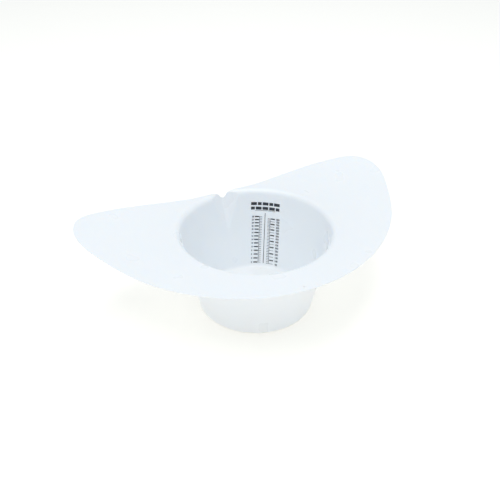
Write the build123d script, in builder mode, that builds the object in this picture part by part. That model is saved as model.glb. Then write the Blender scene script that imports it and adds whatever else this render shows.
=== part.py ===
from build123d import *
from math import cos, degrees, pi, radians, sin, tan
import os

# Specimen collector hat: one thin moulded shell with a graduated scale printed inside.
# Millimetres, +Z up, origin at the centre of the base. The spout is at +Y and the front at -Y.

# Shell
wall = 1.0  # the same all over

# Bowl, measured on its outer face
base_radius = 60.8  # where the wall would meet the base if the corner were sharp
draft = 11.7  # degrees, how far the wall leans out from upright
corner_radius = 6.3
mouth_height = 91.8  # top of the lip

# Lip and brim, measured on their upper face
lip_radius = 6.5
brim_curve = 370  # radius of the arc along which the brim rises from the lip

# Brim outline: how far it stands out beyond the lip, at angles from the front in degrees
front_brim = 32.4
wing_brim = 98.2
back_brim = 0.3
wing_angle = 107.2
front_stations = [(36.8, 38.6), (69.1, 57.1), (90.6, 78.0)]
back_stations = [(114.0, 96.6), (122.5, 76.9), (130.6, 54.4), (152.0, 12.2)]

# Pouring spout: a V channel that leaves the wall low down and runs out through the back edge
spout_foot = 50  # height at which its root leaves the wall
spout_depth = 7  # how far its root lies below the lip at the back edge
spout_angle = 106  # degrees, between its two faces
spout_root = 3  # inner radius along its root
spout_lip = 5  # radius where its faces turn into the wall and the brim

# Gate mark left by the moulding, a low pip on the brim near the front edge
gate_radius = 0.9
gate_height = 0.3
gate_from_edge = 6.2
gate_angle = -2.5  # degrees from the front

# Printed scale, an ink skin on the inner wall: a middle line with ounces on its left and cubic
# centimetres on its right, each column with an upright, bold bars and fine ticks
ink = 0.12
scale_angle = 55.6  # degrees from +X to the middle line
ounce = 29.5735  # millilitres
scale_ounces = 28
bold_ounces = 2
scale_cc = 800
tick_cc = 25
fine_cc = 50
bold_cc = 100
line_low = 50  # millilitres, where the middle line starts and ends
line_high = 900
middle_width = 0.6
upright_width = 0.35
fine_height = 0.35
bold_height = 1.3
tick_start = 3.1  # this and the next three are places across the wall from the middle line
upright_place = 6.1
bold_start = 6.9
bold_end = 11.4

# Places that follow from the sizes above
turn = 90 - draft
slope = tan(radians(draft))
reach = 260  # the two forms below end well outside the brim
ceiling = 170


def wall_radius(height, inset):
    """Distance from the axis to the face of the wall that lies inset inside the outer one."""
    return base_radius + height * slope - inset / cos(radians(draft))


mouth_radius = wall_radius(mouth_height, wall) + lip_radius * tan(radians(turn / 2))
back_reach = mouth_radius + back_brim
foot_radius = wall_radius(spout_foot, wall)
spout_run = Vector(0, back_reach - foot_radius, mouth_height - spout_depth - spout_foot).normalized()


def brim_height(radius):
    """Height of the brim's upper face at a distance from the axis."""
    return mouth_height + brim_curve - (brim_curve**2 - (radius - mouth_radius) ** 2) ** 0.5


def from_front(radius, angle):
    """A point on the plan at an angle from the front, turning towards +X."""
    return (radius * sin(radians(angle)), -radius * cos(radians(angle)))


def form(depth):
    """The space above the face of the shell that lies depth under its upper and inner one."""
    floor_height = wall - depth
    lip_height = mouth_height - depth
    corner = corner_radius - floor_height
    lip = lip_radius - depth
    floor_end = wall_radius(floor_height, floor_height) - corner * tan(radians(turn / 2))
    side_end = lip_height - lip * tan(radians(turn / 2)) * cos(radians(draft))
    with BuildPart() as space:
        with BuildSketch(Plane.XZ):
            with BuildLine():
                floor = Line((0, floor_height), (floor_end, floor_height))
                bend = JernArc(start=floor @ 1, tangent=(1, 0), radius=corner, arc_size=turn)
                side = Line(bend @ 1, (wall_radius(side_end, floor_height), side_end))
                rim = JernArc(start=side @ 1, tangent=side % 1, radius=lip, arc_size=-turn)
                rise = JernArc(start=rim @ 1, tangent=(1, 0), radius=brim_curve + depth, arc_size=24)
                Polyline(rise @ 1, (reach, (rise @ 1).Y), (reach, ceiling), (0, ceiling), (0, floor_height))
            make_face()
        revolve(axis=Axis.Z)
        # The V is drawn square to the spout's root, starting inside the bowl below the foot
        half_angle = radians(spout_angle / 2)
        root = spout_root + depth
        tip = depth + root / sin(half_angle) - root
        back = tip - foot_radius / 2
        start = Vector(0, foot_radius, spout_foot) - spout_run * (spout_foot / 2)
        with BuildSketch(Plane(origin=start, x_dir=(1, 0, 0), z_dir=spout_run)):
            with BuildLine():
                half_width = (tip - back) * tan(half_angle)
                Polyline((0, tip), (half_width, back), (-half_width, back), close=True)
            make_face()
            fillet(vertices().sort_by(Axis.Y)[-1], radius=root)
        extrude(amount=ceiling)
        # Where the V runs out of the bowl and the brim, its faces turn into theirs
        seam = [
            edge
            for edge in edges()
            if edge.geom_type != GeomType.LINE
            and (edge @ 0.5).Y > foot_radius / 2
            and abs((edge @ 0.5).X) < foot_radius / 4
            and (edge @ 0.5).Z < mouth_height + lip_radius
        ]
        fillet(seam, radius=spout_lip - depth)
    return space


upper_space = form(0)
lower_space = form(wall)

# The shell is what lies between the two forms, trimmed to the brim's outline
with BuildPart() as collector:
    add(lower_space.part)
    add(upper_space.part, mode=Mode.SUBTRACT)
    with BuildSketch():
        with BuildLine():
            stations = [
                (0, front_brim),
                *front_stations,
                (wing_angle, wing_brim),
                *back_stations,
                (180, back_brim),
            ]
            outline = [from_front(mouth_radius + beyond, angle) for angle, beyond in stations]
            half = Spline(*outline, tangents=[(1, 0), (-1, 0)])
            mirror(half, about=Plane.YZ)
        make_face()
    extrude(amount=ceiling, mode=Mode.INTERSECT)
    gate_reach = mouth_radius + front_brim - gate_from_edge
    gate_foot = brim_height(gate_reach) - wall / 2
    with Locations((*from_front(gate_reach, gate_angle), gate_foot)):
        Cylinder(
            radius=gate_radius,
            height=wall / 2 + gate_height,
            align=(Align.CENTER, Align.CENTER, Align.MIN),
        )


def level(volume):
    """Height of the liquid in the bowl for a volume in millilitres.

    The bowl is a cone frustum less the ring that the rounded corner takes away.
    """
    floor_radius = wall_radius(wall, wall)
    corner = corner_radius - wall
    corner_area = corner**2 * (tan(radians(turn / 2)) - radians(turn / 2))
    corner_ring = 2 * pi * floor_radius * corner_area
    cube = floor_radius**3 + 3 * slope / pi * (volume * 1000 + corner_ring)
    return wall + (cube ** (1 / 3) - floor_radius) / slope


def bar(start, end, volume, height):
    """A level bar between two places across the wall, at the level of a volume."""
    with Locations(((start + end) / 2, level(volume))):
        Rectangle(abs(end - start), height)


def upright(place, lowest, highest, width):
    """An upright line between the levels of two volumes."""
    foot = level(lowest)
    top = level(highest)
    with Locations((place, (foot + top) / 2)):
        Rectangle(width, top - foot)


with BuildPart() as printed_scale:
    # A band of ink around part of the wall, which the marks are then cut from
    band_low = level(line_low) - bold_height
    band_high = level(line_high) + bold_height
    band_turn = 4 * degrees(bold_end / foot_radius)
    with BuildSketch(Plane.XZ.rotated((0, 0, scale_angle - band_turn / 2))):
        with BuildLine():
            Polyline(
                (wall_radius(band_low, wall), band_low),
                (wall_radius(band_high, wall), band_high),
                (wall_radius(band_high, wall + ink), band_high),
                (wall_radius(band_low, wall + ink), band_low),
                close=True,
            )
        make_face()
    revolve(axis=Axis.Z, revolution_arc=band_turn)
    # The marks are drawn on an upright plane through the axis, with the ounces on its +X side
    with BuildSketch(Plane.YZ.rotated((0, 0, scale_angle))):
        upright(0, line_low, line_high, middle_width)
        upright(upright_place, bold_ounces * ounce, scale_ounces * ounce, upright_width)
        upright(-upright_place, fine_cc, scale_cc, upright_width)
        for number in range(bold_ounces, scale_ounces + 1):
            bar(tick_start, upright_place, number * ounce, fine_height)
            if number % bold_ounces == 0:
                bar(upright_place, bold_end, number * ounce, fine_height)
                bar(bold_start, bold_end, number * ounce, bold_height)
        for volume in range(fine_cc, scale_cc + 1, tick_cc):
            bar(-tick_start, -upright_place, volume, fine_height)
            if volume % fine_cc == 0:
                bar(-upright_place, -bold_end, volume, fine_height)
            if volume % bold_cc == 0:
                bar(-bold_start, -bold_end, volume, bold_height)
    extrude(amount=reach, mode=Mode.INTERSECT)

os.makedirs("parts", exist_ok=True)
collector.part.label = "collector"
export_step(collector.part, "parts/collector.step")
printed_scale.part.label = "printed_scale"
export_step(printed_scale.part, "parts/printed_scale.step")
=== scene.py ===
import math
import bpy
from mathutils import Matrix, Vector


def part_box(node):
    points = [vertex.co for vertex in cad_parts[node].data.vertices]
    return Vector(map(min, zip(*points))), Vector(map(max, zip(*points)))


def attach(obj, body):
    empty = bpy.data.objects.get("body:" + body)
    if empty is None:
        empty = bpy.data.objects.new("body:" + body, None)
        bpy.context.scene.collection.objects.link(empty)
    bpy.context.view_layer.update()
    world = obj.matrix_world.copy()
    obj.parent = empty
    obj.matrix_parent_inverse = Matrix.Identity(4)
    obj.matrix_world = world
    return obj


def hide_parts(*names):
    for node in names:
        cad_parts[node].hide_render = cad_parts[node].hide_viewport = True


bl_info = {
    "name": "Specimen Collector Hat",
    "version": (1, 0, 0),
    "blender": (4, 5, 0),
    "location": "3D View > Sidebar > Collector",
    "description": "Builds a wide-brimmed specimen collector with a pouring spout and a printed scale",
    "category": "Add Mesh",
}

import bpy
import numpy as np
from bpy.props import FloatProperty, FloatVectorProperty, IntProperty, PointerProperty, StringProperty
from mathutils import Euler, Vector

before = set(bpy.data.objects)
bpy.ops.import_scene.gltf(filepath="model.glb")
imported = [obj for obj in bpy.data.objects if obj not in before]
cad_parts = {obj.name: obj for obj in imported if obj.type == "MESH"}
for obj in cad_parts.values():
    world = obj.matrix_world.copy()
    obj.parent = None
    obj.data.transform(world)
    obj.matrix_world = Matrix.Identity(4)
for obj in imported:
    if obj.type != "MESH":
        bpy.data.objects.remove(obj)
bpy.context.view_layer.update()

MM = 0.001
BODY = "root"


def mm(name, description, default):
    """A length property, given in millimetres and kept in metres."""
    default = default * MM
    return FloatProperty(name=name, description=description, default=default, precision=5, unit="LENGTH")


def degrees(name, description, default):
    """An angle property, given in degrees and kept in radians."""
    default = math.radians(default)
    return FloatProperty(name=name, description=description, default=default, subtype="ANGLE")


def colour(name, description, default):
    """A colour property, given as an sRGB hex value and kept as text."""
    return StringProperty(name=name, description=description, default=default)


class ShellSizes(bpy.types.PropertyGroup):
    """Sizes of the moulded shell, the same as those of the solid that it stands for."""

    wall: mm("Wall", "Thickness, the same all over", 1.0)
    base_radius: mm("Base radius", "Where the wall's outer face would meet the base", 60.8)
    draft: degrees("Draft", "How far the wall leans out", 11.7)
    corner_radius: mm("Corner radius", "Outer radius where the base turns into the wall", 6.3)
    mouth_height: mm("Mouth height", "Top of the lip above the base", 91.8)
    lip_radius: mm("Lip radius", "Upper face of the lip", 6.5)
    brim_curve: mm("Brim curve", "Radius of the arc along which the brim rises", 370)
    spout_foot: mm("Spout foot", "Height at which the spout's root leaves the wall", 50)
    spout_depth: mm("Spout depth", "How far the root lies below the lip at the back edge", 7)
    back_brim: mm("Back brim", "How far the brim stands out beyond the lip at the back", 0.3)
    spout_angle: degrees("Spout angle", "Between its two faces", 118)
    spout_root: mm("Spout root", "Inner radius along the root", 6)
    spout_lip: mm("Spout lip", "Radius where its faces turn into the wall and the brim", 6)
    rim_round: mm("Rim round", "Radius along both edges of the rim", 0.4)
    gate_radius: mm("Gate mark", "Radius of the pip left by the moulding", 0.9)
    gate_height: mm("Gate height", "Height of the pip above the brim", 0.3)
    gate_from_edge: mm("Gate from edge", "How far the pip lies inside the front edge", 6.2)
    gate_angle: degrees("Gate angle", "Place of the pip, from the front", -2.5)
    columns: IntProperty(name="Columns", description="Mesh columns round the shell", default=300)
    spout_columns: IntProperty(name="Spout columns", description="Columns across the spout", default=84)
    spout_span: FloatProperty(
        name="Spout span",
        description="Half the angle round the axis in which the columns are close together",
        default=0.25,
        subtype="ANGLE",
    )


class PrintSizes(bpy.types.PropertyGroup):
    """Sizes of what is printed beside and above the scale's marks."""

    ink: mm("Ink", "Thickness of the print", 0.12)
    scale_angle: degrees("Scale angle", "Middle line, from +X", 55.6)
    ounce_height: mm("Ounce numbers", "Height of the numbers beside the ounce marks", 2.0)
    ounce_place: mm("Ounce place", "Middle of the ounce numbers, left of the middle line", 13.7)
    cc_height: mm("Cubic centimetre numbers", "Height of the numbers beside these marks", 2.2)
    cc_place: mm("Cubic centimetre place", "Middle of their numbers, right of the middle line", 15.1)
    bar_height: mm("Bar height", "Height of each row of bars above the scale", 3.3)
    bar_row: mm("Bar row", "Distance between the two rows", 5.2)
    bar_top: mm("Bar top", "Height of the upper row's middle above the base", 76.2)
    bar_reach: mm("Bar reach", "How far the rows reach to each side of the middle line", 16.2)


class Finishes(bpy.types.PropertyGroup):
    """Colours of the finishes."""

    shell: colour("Shell", "Moulded plastic", "#FBFDFF")
    shell_thin: colour("Shell, thin", "Where the plastic flowed thinner", "#F6FBFF")
    ink: colour("Ink", "Printing ink", "#1B232D")
    floor: colour("Floor", "Studio floor", "#FFFBF4")


class Studio(bpy.types.PropertyGroup):
    """Camera and lights."""

    camera_place: FloatVectorProperty(
        name="Camera place",
        description="Where the camera stands",
        default=(-0.278592, -0.564930, 0.489845),
        precision=5,
        unit="LENGTH",
    )
    camera_turn: degrees("Camera turn", "Turned right from looking along +Y", 25.70)
    camera_drop: degrees("Camera drop", "Looking down from level", 34.048)
    lens: FloatProperty(name="Lens", description="Focal length on a 36 mm sensor", default=52.303)
    world: FloatProperty(name="World", description="Strength of the pale surround", default=0.61)
    surround: colour("Surround", "Light from all round", "#ECF6FF")
    key_power: FloatProperty(name="Key", description="Left softbox", default=7.2, unit="POWER")
    top_power: FloatProperty(name="Top", description="Right softbox", default=5.3, unit="POWER")
    box_size: FloatProperty(name="Box size", description="Softbox side", default=1.0, unit="LENGTH")
    floor_half: FloatProperty(name="Floor", description="Half its side", default=4.0, unit="LENGTH")


# Shape of the shell


def bowl_runs(s):
    """The shell's inner profile as runs of length and curvature: floor, corner, wall, lip, brim."""
    turn = math.pi / 2 - s.draft
    corner = s.corner_radius - s.wall
    inner_foot = s.base_radius + s.wall * math.tan(s.draft) - s.wall / math.cos(s.draft)
    floor = inner_foot - corner * math.tan(turn / 2)
    side_low = s.wall + corner * (1 - math.sin(s.draft))
    side_high = s.mouth_height - s.lip_radius * (1 - math.sin(s.draft))
    side = (side_high - side_low) / math.cos(s.draft)
    brim = s.brim_curve * 0.4
    return [
        (floor, 0.0),
        (corner * turn, 1 / corner),
        (side, 0.0),
        (s.lip_radius * turn, -1 / s.lip_radius),
        (brim, 1 / s.brim_curve),
    ]


def follow(runs, height, along):
    """Radius and height at distances along a chain of runs that starts level on the axis.

    Each run adds exp(i heading) times its length, or for an arc of curvature k
    (exp(i (heading + k length)) - exp(i heading)) / (i k), in the complex plane.
    """
    place = np.full(np.shape(along), 1j * height)
    heading = 0.0
    start = 0.0
    for length, bend in runs:
        part = np.clip(along - start, 0, length)
        if bend:
            place = place + (np.exp(1j * (heading + bend * part)) - np.exp(1j * heading)) / (1j * bend)
        else:
            place = place + part * np.exp(1j * heading)
        heading += bend * length
        start += length
    return place.real, place.imag


def mouth_radius(s):
    """Distance from the axis to the top of the lip, where the lip's arc ends and the brim's begins."""
    runs = bowl_runs(s)
    lip_end = sum(length for length, bend in runs[:4])
    return float(follow(runs, s.wall, np.array(lip_end))[0])


def spout_line(s):
    """The spout's root: its foot, its direction, and the way square to it, out of the bowl and down."""
    mouth = mouth_radius(s)
    foot = s.base_radius + s.spout_foot * math.tan(s.draft) - s.wall / math.cos(s.draft)
    run = np.array([0, mouth + s.back_brim - foot, s.mouth_height - s.spout_depth - s.spout_foot])
    run /= np.linalg.norm(run)
    return np.array([0, foot, s.spout_foot]), run, np.array([0, run[2], -run[1]])


def bowl_distance(s, p):
    """Distance of points into the plastic from the face of bowl and brim, and the way that it grows.

    The nearest of wall, lip and brim counts, each a cone, a circle about the lip's
    centre or a circle about the brim's centre, turned round the axis.
    """
    r = np.hypot(p[..., 0], p[..., 1])
    z = p[..., 2]
    mouth = mouth_radius(s)
    lean = s.draft
    wall = (r - s.base_radius - z * math.tan(lean)) * math.cos(lean) + s.wall
    lip_r = r - mouth
    lip_z = z - (s.mouth_height - s.lip_radius)
    lip_far = np.hypot(lip_r, lip_z) + 1e-12
    on_lip = (lip_r < 0) & (lip_z * math.cos(lean) > -lip_r * math.sin(lean))
    up = z - (s.mouth_height + s.brim_curve)
    brim_far = np.hypot(lip_r, up)
    brim = brim_far - s.brim_curve
    near_wall = wall < brim
    distance = np.where(on_lip, s.lip_radius - lip_far, np.minimum(wall, brim))
    grow_r = np.where(on_lip, -lip_r / lip_far, np.where(near_wall, math.cos(lean), lip_r / brim_far))
    grow_z = np.where(on_lip, -lip_z / lip_far, np.where(near_wall, -math.sin(lean), up / brim_far))
    grow = np.stack([grow_r * p[..., 0] / r, grow_r * p[..., 1] / r, grow_z], -1)
    return distance, grow


def spout_distance(s, p):
    """Distance of points into the plastic from the rounded V, and the way that it grows.

    The V is a sharp one, set back by the root's radius, and grown by that radius.
    """
    foot, _, out = spout_line(s)
    half = s.spout_angle / 2
    x = p[..., 0]
    deep = (p - foot) @ out + s.spout_root
    to_face = deep * math.sin(half) + np.abs(x) * math.cos(half)
    along_face = np.abs(x) * math.sin(half) - deep * math.cos(half)
    to_root = np.hypot(x, deep) + 1e-12
    at_root = (along_face < 0) & (deep > 0)
    distance = np.where(at_root, to_root, to_face) - s.spout_root
    across = np.where(at_root, x / to_root, np.sign(x) * math.cos(half))
    down = np.where(at_root, deep / to_root, math.sin(half))
    grow = across[..., None] * np.array([1.0, 0, 0]) + down[..., None] * out
    return distance, grow


def open_distance(s, p):
    """Distance into the plastic from the bowl and the V together, with the ridge between them rounded.

    With distances a and b, their directions at cosine c and the radius k, the round is
    k - sqrt((u u + v v - 2 u v c) / (1 - c c)) for u = k - a and v = k - b, where it is the nearer.
    """
    a, grow_a = bowl_distance(s, p)
    b, grow_b = spout_distance(s, p)
    c = np.clip(np.sum(grow_a * grow_b, -1), -0.999, 0.999)
    k = s.spout_lip
    u = k - a
    v = k - b
    inside = (u > c * v) & (v > c * u)
    round_off = k - np.sqrt(np.maximum(u * u + v * v - 2 * u * v * c, 0) / (1 - c * c))
    return np.where(inside, np.minimum(round_off, np.minimum(a, b)), np.minimum(a, b))


def push_out(s, p):
    """Moves points of the plain bowl out to the face with the spout, square to the spout's root.

    The place along that direction where the distance becomes nought is found by halving.
    """
    out = spout_line(s)[2]
    halvings = 36
    farthest = 3 * s.spout_depth
    low = np.zeros(p.shape[:-1])
    high = np.full(p.shape[:-1], farthest)
    for halving in range(halvings):
        middle = (low + high) / 2
        is_open = open_distance(s, p + middle[..., None] * out) < 0
        low = np.where(is_open, middle, low)
        high = np.where(is_open, high, middle)
    moved = p + ((low + high) / 2)[..., None] * out
    beside = (p[..., 1] > 0) & (np.abs(p[..., 0]) < 4 * s.spout_depth) & (p[..., 2] > s.spout_foot / 2)
    return np.where((beside & (low > 0))[..., None], moved, p)


def rim_outline(s):
    """Angles and distances from the axis along the rim, from the upright faces of the solid's rim."""
    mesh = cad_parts["collector"].data
    corners = np.zeros(len(mesh.vertices) * 3)
    mesh.vertices.foreach_get("co", corners)
    corners = corners.reshape(-1, 3)
    normals = np.zeros(len(mesh.polygons) * 3)
    mesh.polygons.foreach_get("normal", normals)
    faces = np.zeros(len(mesh.loops), int)
    mesh.loops.foreach_get("vertex_index", faces)
    faces = faces.reshape(-1, 3)
    middle = corners[faces].mean(1)
    gate = gate_place(s)
    most_tilt = 0.02
    upright = np.abs(normals.reshape(-1, 3)[:, 2]) < most_tilt
    clear = np.hypot(middle[:, 0] - gate[0], middle[:, 1] - gate[1]) > 2 * s.gate_radius
    rim = corners[np.unique(faces[upright & clear])]
    angles, first = np.unique(np.round(np.arctan2(rim[:, 1], rim[:, 0]), 5), return_index=True)
    return angles, np.hypot(rim[first, 0], rim[first, 1])


def gate_place(s):
    """The gate mark's place on the plan, inside the front edge."""
    front = -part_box("collector")[0].y - s.gate_from_edge
    return np.array([front * math.sin(s.gate_angle), -front * math.cos(s.gate_angle)])


def turned(radius, angle, height):
    """Points at a distance from the axis, an angle from +X and a height."""
    radius, angle, height = np.broadcast_arrays(radius, angle, height)
    return np.stack([radius * np.cos(angle), radius * np.sin(angle), height], -1)


def column_angles(s):
    """Angles of the mesh columns, close together across the spout and even elsewhere."""
    reach = s.spout_span
    close = np.linspace(-reach, reach, s.spout_columns, endpoint=False)
    rest = np.linspace(reach, 2 * math.pi - reach, s.columns, endpoint=False)
    return np.concatenate([close, rest]) + math.pi / 2


def shell_grid(s):
    """The shell's upper face as rows of points, floor's middle to rim, and the way into the plastic.

    A row is a distance along the profile. Near the rim the rows are spread between a line
    on the wall and the distance at which each column, once pushed out, meets the rim's outline.
    """
    runs = bowl_runs(s)
    ends = np.cumsum([length for length, bend in runs])
    past_lip = 4 * MM
    below_lip = 10 * MM
    try_count = 300
    beside_spout = s.spout_span + 0.03
    angles = column_angles(s)
    outline_angles, outline_radii = rim_outline(s)

    def rim_radius(angle):
        wrapped = (angle + math.pi) % (2 * math.pi) - math.pi
        return np.interp(wrapped, outline_angles, outline_radii, period=2 * math.pi) - s.rim_round

    def face(along):
        radius, height = follow(runs, s.wall, along)
        return push_out(s, turned(radius, angles, height))

    # Where the plain profile reaches the outline, and near the spout where the pushed one does
    brim_reach = rim_radius(angles) - mouth_radius(s)
    plain_end = ends[3] + s.brim_curve * np.arcsin(brim_reach / s.brim_curve)
    tries = np.linspace(ends[2] - past_lip, ends[3] + past_lip, try_count)[:, None] + 0 * angles
    tried = face(tries)
    past = np.hypot(tried[..., 0], tried[..., 1]) - rim_radius(np.arctan2(tried[..., 1], tried[..., 0]))
    first = np.maximum(np.argmax(past > 0, axis=0), 1)
    pick = np.arange(len(angles))
    share = past[first - 1, pick] / (past[first - 1, pick] - past[first, pick])
    found = tries[first - 1, pick] + share * (tries[first, pick] - tries[first - 1, pick])
    close = np.abs(np.mod(angles, 2 * math.pi) - math.pi / 2) < beside_spout
    end = np.where(close & (past.max(0) > 0), found, plain_end)

    # Rows on the floor, in the corner, on the plain wall, along the spout, over the lip and on the brim
    low_line = ends[2] - below_lip
    lip_line = np.minimum(ends[3], low_line + 0.92 * (end - low_line))
    spout_start = ends[1] + 0.4 * (low_line - ends[1])
    spread = [
        (np.linspace(0.04, 1, 10)[:, None] ** 0.8) * ends[0],
        np.linspace(ends[0], ends[1], 12)[1:, None],
        np.linspace(ends[1], spout_start, 10)[1:, None],
        np.linspace(spout_start, low_line, 36)[1:, None],
        low_line + np.linspace(0, 1, 28)[1:, None] * (lip_line - low_line),
        lip_line + (np.linspace(0, 1, 26)[1:, None] ** 1.3) * (end - lip_line),
    ]
    along = np.concatenate([part + 0 * angles for part in spread])
    points = face(along)
    down_row = np.gradient(points, axis=0)
    round_row = np.roll(points, -1, 1) - np.roll(points, 1, 1)
    into = np.cross(round_row, down_row)
    into /= np.linalg.norm(into, axis=-1, keepdims=True)
    return points, into


def shell_surface(s):
    """Closed surface of the shell: upper face, rounded rim and under face, the wall's thickness apart.

    The rim's section is a quarter circle out of each face, run on by the straight edge between them.
    """
    points, into = shell_grid(s)
    last, dive = points[-1], into[-1]
    ahead = last - points[-2]
    ahead -= np.sum(ahead * dive, -1, keepdims=True) * dive
    ahead /= np.linalg.norm(ahead, axis=-1, keepdims=True)
    swing = np.linspace(0, math.pi / 2, 6)[1:, None, None]
    upper_round = last + s.rim_round * (ahead * np.sin(swing) + dive * (1 - np.cos(swing)))
    straight = s.wall - s.rim_round
    lower_middle = last + straight * dive
    lower_round = lower_middle + s.rim_round * (ahead * np.cos(swing) + dive * np.sin(swing))
    edge_foot = (last + s.rim_round * ahead + straight * dive)[None]
    under = (points + s.wall * into)[::-1][1:]
    return np.concatenate([points, upper_round, edge_foot, lower_round, under])


def rows_mesh(name, rows, top, bottom):
    """A mesh from closed rows of points, with a fan to a middle point at either end."""
    count, width = rows.shape[:2]
    vertices = np.concatenate([rows.reshape(-1, 3), [top, bottom]])
    index = np.arange(count * width).reshape(count, width)
    after = np.roll(index, -1, 1)
    quads = np.stack([index[:-1], index[1:], after[1:], after[:-1]], -1).reshape(-1, 4)
    start = np.stack([np.full(width, count * width), index[0], after[0]], -1)
    finish = np.stack([np.full(width, count * width + 1), after[-1], index[-1]], -1)
    mesh = bpy.data.meshes.new(name)
    mesh.from_pydata(vertices, [], [*quads.tolist(), *start.tolist(), *finish.tolist()])
    mesh.update()
    mesh.polygons.foreach_set("use_smooth", np.ones(len(mesh.polygons), bool))
    return mesh


def place_piece(name, mesh, material):
    """Links a finished mesh as a piece of the object, with its material, on the object's one body."""
    piece = bpy.data.objects.new(name, mesh)
    bpy.context.scene.collection.objects.link(piece)
    mesh.materials.clear()
    mesh.materials.append(material)
    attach(piece, BODY)
    return piece


def gate_pip(s):
    """Rows of the gate mark: a low rounded pip that spreads into the brim at its foot.

    Its height over the brim is one less the fourth power of the share of its radius.
    """
    place = gate_place(s)
    sunk = 0.02 * MM
    share = np.linspace(1.0, 0.1, 12)[:, None]
    angle = -np.linspace(0, 2 * math.pi, 40, endpoint=False)
    x = place[0] + s.gate_radius * share * np.cos(angle)
    y = place[1] + s.gate_radius * share * np.sin(angle)
    brim = brim_height(s, np.hypot(x, y))
    rows = np.stack([x, y, brim + s.gate_height * (1 - share**4) - sunk * share], -1)
    buried = rows[:1] - [0, 0, s.wall / 2]
    return np.concatenate([buried, rows])


def brim_height(s, radius):
    """Height of the brim's upper face at a distance from the axis."""
    beyond = radius - mouth_radius(s)
    return s.mouth_height + s.brim_curve - np.sqrt(s.brim_curve**2 - beyond**2)


# Finishes


def linear(text):
    """The linear colour of an sRGB hex value.

    It is v / 12.92 up to 0.04045, and ((v + 0.055) / 1.055) to the power 2.4 above it.
    """
    value = np.array([int(text[i : i + 2], 16) / 255 for i in (1, 3, 5)])
    value = np.where(value <= 0.04045, value / 12.92, ((value + 0.055) / 1.055) ** 2.4)
    return (*value.tolist(), 1.0)


def add_node(tree, kind, settings=None, values=None, links=None):
    """Adds one node: settings are its attributes, values its own inputs, links what feeds the others."""
    made = tree.nodes.new(kind)
    for key, value in (settings or {}).items():
        setattr(made, key, value)
    for key, value in (values or {}).items():
        made.inputs[key].default_value = value
    for key, socket in (links or {}).items():
        tree.links.new(socket, made.inputs[key])
    return made


def new_material(name):
    """An empty node material and its tree."""
    material = bpy.data.materials.new(name)
    material.use_nodes = True
    material.node_tree.nodes.clear()
    return material, material.node_tree


def moulded_polypropylene(finishes):
    """Injection-moulded natural polypropylene: milky, a little blue and softly glossy.

    The flow of the melt leaves slow waves some 30 mm apart, and the polished mould a fine
    grain, drawn 0.6 mm wide so that it shows.
    """
    material, tree = new_material("moulded polypropylene")
    place = add_node(tree, "ShaderNodeTexCoord").outputs["Object"]
    flow = add_node(
        tree, "ShaderNodeTexNoise",
        values={"Scale": 1 / 0.03, "Detail": 2.0, "Roughness": 0.4},
        links={"Vector": place},
    )
    grain = add_node(
        tree, "ShaderNodeTexNoise",
        values={"Scale": 1 / 0.0006, "Detail": 1.0, "Roughness": 0.5},
        links={"Vector": place},
    )
    tint = add_node(
        tree, "ShaderNodeMix",
        settings={"data_type": "RGBA"},
        values={"A": linear(finishes.shell), "B": linear(finishes.shell_thin)},
        links={"Factor": flow.outputs["Fac"]},
    )
    gloss = add_node(
        tree, "ShaderNodeMapRange",
        values={"To Min": 0.24, "To Max": 0.34},
        links={"Value": flow.outputs["Fac"]},
    )
    waves = add_node(
        tree, "ShaderNodeBump",
        values={"Strength": 0.15, "Distance": 0.0006},
        links={"Height": flow.outputs["Fac"]},
    )
    fine = add_node(
        tree, "ShaderNodeBump",
        values={"Strength": 0.06, "Distance": 0.00005},
        links={"Height": grain.outputs["Fac"], "Normal": waves.outputs["Normal"]},
    )
    plastic = add_node(
        tree, "ShaderNodeBsdfPrincipled",
        values={
            "IOR": 1.49,
            "Subsurface Weight": 0.6,
            "Subsurface Radius": (1.0, 1.15, 1.4),
            "Subsurface Scale": 0.0025,
        },
        links={
            "Base Color": tint.outputs["Result"],
            "Roughness": gloss.outputs["Result"],
            "Normal": fine.outputs["Normal"],
        },
    )
    add_node(tree, "ShaderNodeOutputMaterial", links={"Surface": plastic.outputs["BSDF"]})
    return material


def printing_ink(finishes):
    """Pad-printed ink: flat, dark, and a little thin in places, where the plastic shows through it.

    The thin places are about 0.5 mm wide.
    """
    material, tree = new_material("printing ink")
    place = add_node(tree, "ShaderNodeTexCoord").outputs["Object"]
    cover = add_node(
        tree, "ShaderNodeTexNoise",
        values={"Scale": 1 / 0.0005, "Detail": 2.0},
        links={"Vector": place},
    )
    thin = add_node(
        tree, "ShaderNodeMapRange",
        values={"From Min": 0.5, "From Max": 0.8, "To Max": 0.15},
        links={"Value": cover.outputs["Fac"]},
    )
    tint = add_node(
        tree, "ShaderNodeMix",
        settings={"data_type": "RGBA"},
        values={"A": linear(finishes.ink), "B": linear(finishes.shell_thin)},
        links={"Factor": thin.outputs["Result"]},
    )
    film = add_node(
        tree, "ShaderNodeBsdfPrincipled",
        values={"IOR": 1.5, "Roughness": 0.5},
        links={"Base Color": tint.outputs["Result"]},
    )
    add_node(tree, "ShaderNodeOutputMaterial", links={"Surface": film.outputs["BSDF"]})
    return material


def matt_floor(finishes):
    """Painted studio floor: white and matt."""
    material, tree = new_material("studio floor")
    paint = add_node(
        tree, "ShaderNodeBsdfPrincipled",
        values={
            "Base Color": linear(finishes.floor),
            "Roughness": 0.9,
            "Specular IOR Level": 0.1,
            "Emission Color": linear(finishes.floor),
            "Emission Strength": 0.27,
        },
    )
    add_node(tree, "ShaderNodeOutputMaterial", links={"Surface": paint.outputs["BSDF"]})
    return material


def finish_of(name, maker):
    """The named material, made once."""
    return bpy.data.materials.get(name) or maker(bpy.context.scene.collector_finishes)


# Print


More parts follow.
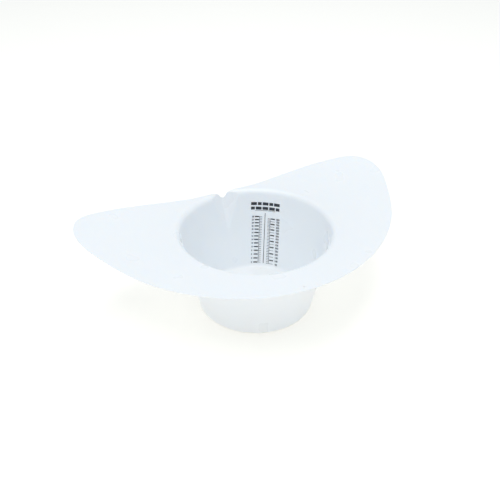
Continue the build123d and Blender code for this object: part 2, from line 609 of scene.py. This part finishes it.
def level(s, millilitres):
    """Height of the liquid for a volume: a cone frustum less the ring lost to the rounded corner."""
    slope = math.tan(s.draft)
    turn = math.pi / 2 - s.draft
    floor_radius = s.base_radius + s.wall * slope - s.wall / math.cos(s.draft)
    corner = s.corner_radius - s.wall
    corner_ring = 2 * math.pi * floor_radius * corner**2 * (math.tan(turn / 2) - turn / 2)
    cube = floor_radius**3 + 3 * slope / math.pi * (millilitres * 1e-6 + corner_ring)
    return s.wall + (np.cbrt(cube) - floor_radius) / slope


def onto_wall(s, print_sizes, flat):
    """Lays flat print on the wall: x runs to the right of the middle line, y up, and z off the wall.

    The angle from the middle line is x over the wall's radius at that height.
    """
    height = flat[:, 1]
    radius = s.base_radius + height * math.tan(s.draft) - s.wall / math.cos(s.draft)
    angle = print_sizes.scale_angle - flat[:, 0] / radius
    return turned(radius - flat[:, 2], angle, height)


def number_mesh(text, height, middle, foot, thickness):
    """Vertices and faces of a number of a given height, with its middle and foot at a flat place."""
    curve = bpy.data.curves.new("number", "FONT")
    curve.body = text
    curve.align_x = "CENTER"
    curve.resolution_u = 3
    # The strokes are a little bolder than the plain font's
    curve.offset = 0.025
    writing = bpy.data.objects.new("number", curve)
    bpy.context.scene.collection.objects.link(writing)
    bpy.context.view_layer.update()
    mesh = bpy.data.meshes.new_from_object(writing.evaluated_get(bpy.context.evaluated_depsgraph_get()))
    bpy.data.objects.remove(writing)
    corners = np.zeros(len(mesh.vertices) * 3)
    mesh.vertices.foreach_get("co", corners)
    corners = corners.reshape(-1, 3)
    tall = np.ptp(corners[:, 1])
    narrow = 0.86
    corners[:, 0] *= narrow * height / tall
    corners[:, 1] = (corners[:, 1] - corners[:, 1].min()) * height / tall
    corners += [middle, foot, thickness]
    faces = [list(face.vertices) for face in mesh.polygons]
    bpy.data.meshes.remove(mesh)
    return corners, faces


def bar_mesh(left, right, middle, height, thickness):
    """Vertices and faces of a flat bar, cut across into short pieces so that it can follow the wall."""
    cuts = 8
    across = np.linspace(left, right, cuts + 1)
    low = np.stack([across, np.full(cuts + 1, middle - height / 2), np.full(cuts + 1, thickness)], -1)
    high = low + [0, height, 0]
    faces = [[i, i + 1, i + cuts + 2, i + cuts + 1] for i in range(cuts)]
    return np.concatenate([low, high]), faces


def joined(parts):
    """Several (vertices, faces) as one."""
    vertices, faces, start = [], [], 0
    for corners, loops in parts:
        vertices.append(corners)
        faces += [[i + start for i in loop] for loop in loops]
        start += len(corners)
    return np.concatenate(vertices), faces


def thickened(flat, faces, sunk):
    """Closes a flat sheet of ink, with the same faces turned over inside the wall and sides between.

    A side stands on each edge that only one face runs along.
    """
    count = len(flat)
    under = flat * [1, 1, 0] - [0, 0, sunk]
    steps = {(loop[i - 1], loop[i]) for loop in faces for i in range(len(loop))}
    sides = [[b, a, a + count, b + count] for a, b in steps if (b, a) not in steps]
    turned_over = [[i + count for i in reversed(loop)] for loop in faces]
    return np.concatenate([flat, under]), faces + turned_over + sides


def printed_piece(name, parts):
    """A piece of print from flat parts, laid on the wall."""
    scene = bpy.context.scene
    sunk = 0.02 * MM
    flat, faces = joined(parts)
    flat, faces = thickened(flat, faces, sunk)
    laid = onto_wall(scene.collector_shell, scene.collector_print, flat)
    mesh = bpy.data.meshes.new(name)
    mesh.from_pydata(laid, [], faces)
    mesh.update()
    return place_piece(name, mesh, finish_of("printing ink", printing_ink))


# Operators


class COLLECTOR_OT_shell(bpy.types.Operator):
    """Moulds the shell with its brim, lip and spout, and the gate mark on the brim"""

    bl_idname = "collector.shell"
    bl_label = "Moulded Shell"

    def execute(self, context):
        s = context.scene.collector_shell
        plastic = finish_of("moulded polypropylene", moulded_polypropylene)
        rows = shell_surface(s)
        mesh = rows_mesh("moulded_shell", rows, (0, 0, s.wall), (0, 0, 0))
        shell = place_piece("moulded_shell", mesh, plastic)
        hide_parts("collector")
        pip = gate_pip(s)
        place = gate_place(s)
        crown = brim_height(s, np.hypot(*place)) + s.gate_height
        mesh = rows_mesh("gate_mark", pip, (*place, pip[0, 0, 2]), (*place, crown))
        place_piece("gate_mark", mesh, plastic)
        return {"FINISHED"}


class COLLECTOR_OT_marks(bpy.types.Operator):
    """Inks the scale's marks, which are a part of the solid model"""

    bl_idname = "collector.marks"
    bl_label = "Scale Marks"

    def execute(self, context):
        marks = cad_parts["printed_scale"]
        marks.data.materials.clear()
        marks.data.materials.append(finish_of("printing ink", printing_ink))
        return {"FINISHED"}


class COLLECTOR_OT_numbers(bpy.types.Operator):
    """Prints the plain numbers beside the scale's marks"""

    bl_idname = "collector.numbers"
    bl_label = "Scale Numbers"

    def execute(self, context):
        s = context.scene.collector_shell
        p = context.scene.collector_print
        ounce = 29.5735
        parts = []
        for number in range(2, 29, 2):
            foot = level(s, number * ounce) - p.ounce_height / 2
            parts.append(number_mesh(str(number), p.ounce_height, -p.ounce_place, foot, p.ink))
        for number in range(50, 801, 50):
            foot = level(s, number) - p.cc_height / 2
            parts.append(number_mesh(str(number), p.cc_height, p.cc_place, foot, p.ink))
        printed_piece("scale_numbers", parts)
        return {"FINISHED"}


class COLLECTOR_OT_bars(bpy.types.Operator):
    """Prints two rows of plain bars above the scale, and a thin line under them"""

    bl_idname = "collector.bars"
    bl_label = "Header Bars"

    def execute(self, context):
        p = context.scene.collector_print
        parts = []
        gap = 0.55
        line_height = 0.3 * MM
        for row, lengths in enumerate(((3, 2, 3, 2, 3), (2, 3, 3, 3, 2))):
            share = 2 * p.bar_reach / (sum(lengths) + gap * (len(lengths) - 1))
            left = -p.bar_reach
            for length in lengths:
                right = left + length * share
                parts.append(bar_mesh(left, right, p.bar_top - row * p.bar_row, p.bar_height, p.ink))
                left = right + gap * share
        line = p.bar_top - 1.5 * p.bar_row
        line_reach = 0.7 * p.bar_reach
        parts.append(bar_mesh(-line_reach, line_reach, line, line_height, p.ink))
        printed_piece("header_bars", parts)
        return {"FINISHED"}


class COLLECTOR_OT_stage(bpy.types.Operator):
    """Lays the pale floor, hangs the soft lights and sets up the camera"""

    bl_idname = "collector.stage"
    bl_label = "Stage"

    def execute(self, context):
        studio = context.scene.collector_studio
        scene = context.scene
        half = studio.floor_half
        corners = [(-half, -half, 0), (half, -half, 0), (half, half, 0), (-half, half, 0)]
        mesh = bpy.data.meshes.new("floor")
        mesh.from_pydata(corners, [], [(0, 1, 2, 3)])
        mesh.materials.append(finish_of("studio floor", matt_floor))
        floor = bpy.data.objects.new("floor", mesh)
        scene.collection.objects.link(floor)

        world = bpy.data.worlds.new("pale surround")
        world.use_nodes = True
        world.node_tree.nodes["Background"].inputs["Color"].default_value = linear(studio.surround)
        world.node_tree.nodes["Background"].inputs["Strength"].default_value = studio.world
        scene.world = world

        target = Vector((0, 0, 0.07))
        softbox("key", target, (-0.4, -0.3, 1.7), studio.box_size, studio.key_power)
        softbox("top", target, (0.25, 0.2, 1.7), studio.box_size, studio.top_power)

        lens = bpy.data.cameras.new("camera")
        lens.sensor_width = 36
        lens.lens = studio.lens
        lens.clip_start = 0.01
        camera = bpy.data.objects.new("camera", lens)
        camera.location = studio.camera_place
        camera.rotation_euler = Euler((math.pi / 2 - studio.camera_drop, 0, -studio.camera_turn))
        scene.collection.objects.link(camera)
        scene.camera = camera
        scene.view_settings.view_transform = "Standard"
        return {"FINISHED"}


def softbox(name, target, place, size, power):
    """A square soft light that faces the object."""
    lamp = bpy.data.lights.new(name, "AREA")
    lamp.size = size
    lamp.energy = power
    light = bpy.data.objects.new(name, lamp)
    light.location = place
    light.rotation_euler = (Vector(place) - target).to_track_quat("Z", "Y").to_euler()
    bpy.context.scene.collection.objects.link(light)


class COLLECTOR_PT_panel(bpy.types.Panel):
    """Lists the collector's pieces"""

    bl_label = "Specimen Collector"
    bl_space_type = "VIEW_3D"
    bl_region_type = "UI"
    bl_category = "Collector"

    def draw(self, context):
        for operator in OPERATORS:
            self.layout.operator(operator.bl_idname)
        for group in GROUPS:
            settings = getattr(context.scene, group)
            box = self.layout.box()
            for key in settings.__annotations__:
                box.prop(settings, key)


OPERATORS = (
    COLLECTOR_OT_shell,
    COLLECTOR_OT_marks,
    COLLECTOR_OT_numbers,
    COLLECTOR_OT_bars,
    COLLECTOR_OT_stage,
)
GROUPS = {
    "collector_shell": ShellSizes,
    "collector_print": PrintSizes,
    "collector_finishes": Finishes,
    "collector_studio": Studio,
}


def register():
    for kind in (*GROUPS.values(), *OPERATORS, COLLECTOR_PT_panel):
        bpy.utils.register_class(kind)
    for name, group in GROUPS.items():
        setattr(bpy.types.Scene, name, PointerProperty(type=group))


def unregister():
    for name in GROUPS:
        delattr(bpy.types.Scene, name)
    for kind in reversed((*GROUPS.values(), *OPERATORS, COLLECTOR_PT_panel)):
        bpy.utils.unregister_class(kind)


def main():
    register()
    for operator in OPERATORS:
        family, name = operator.bl_idname.split(".")
        getattr(getattr(bpy.ops, family), name)()


if __name__ == "__main__":
    main()
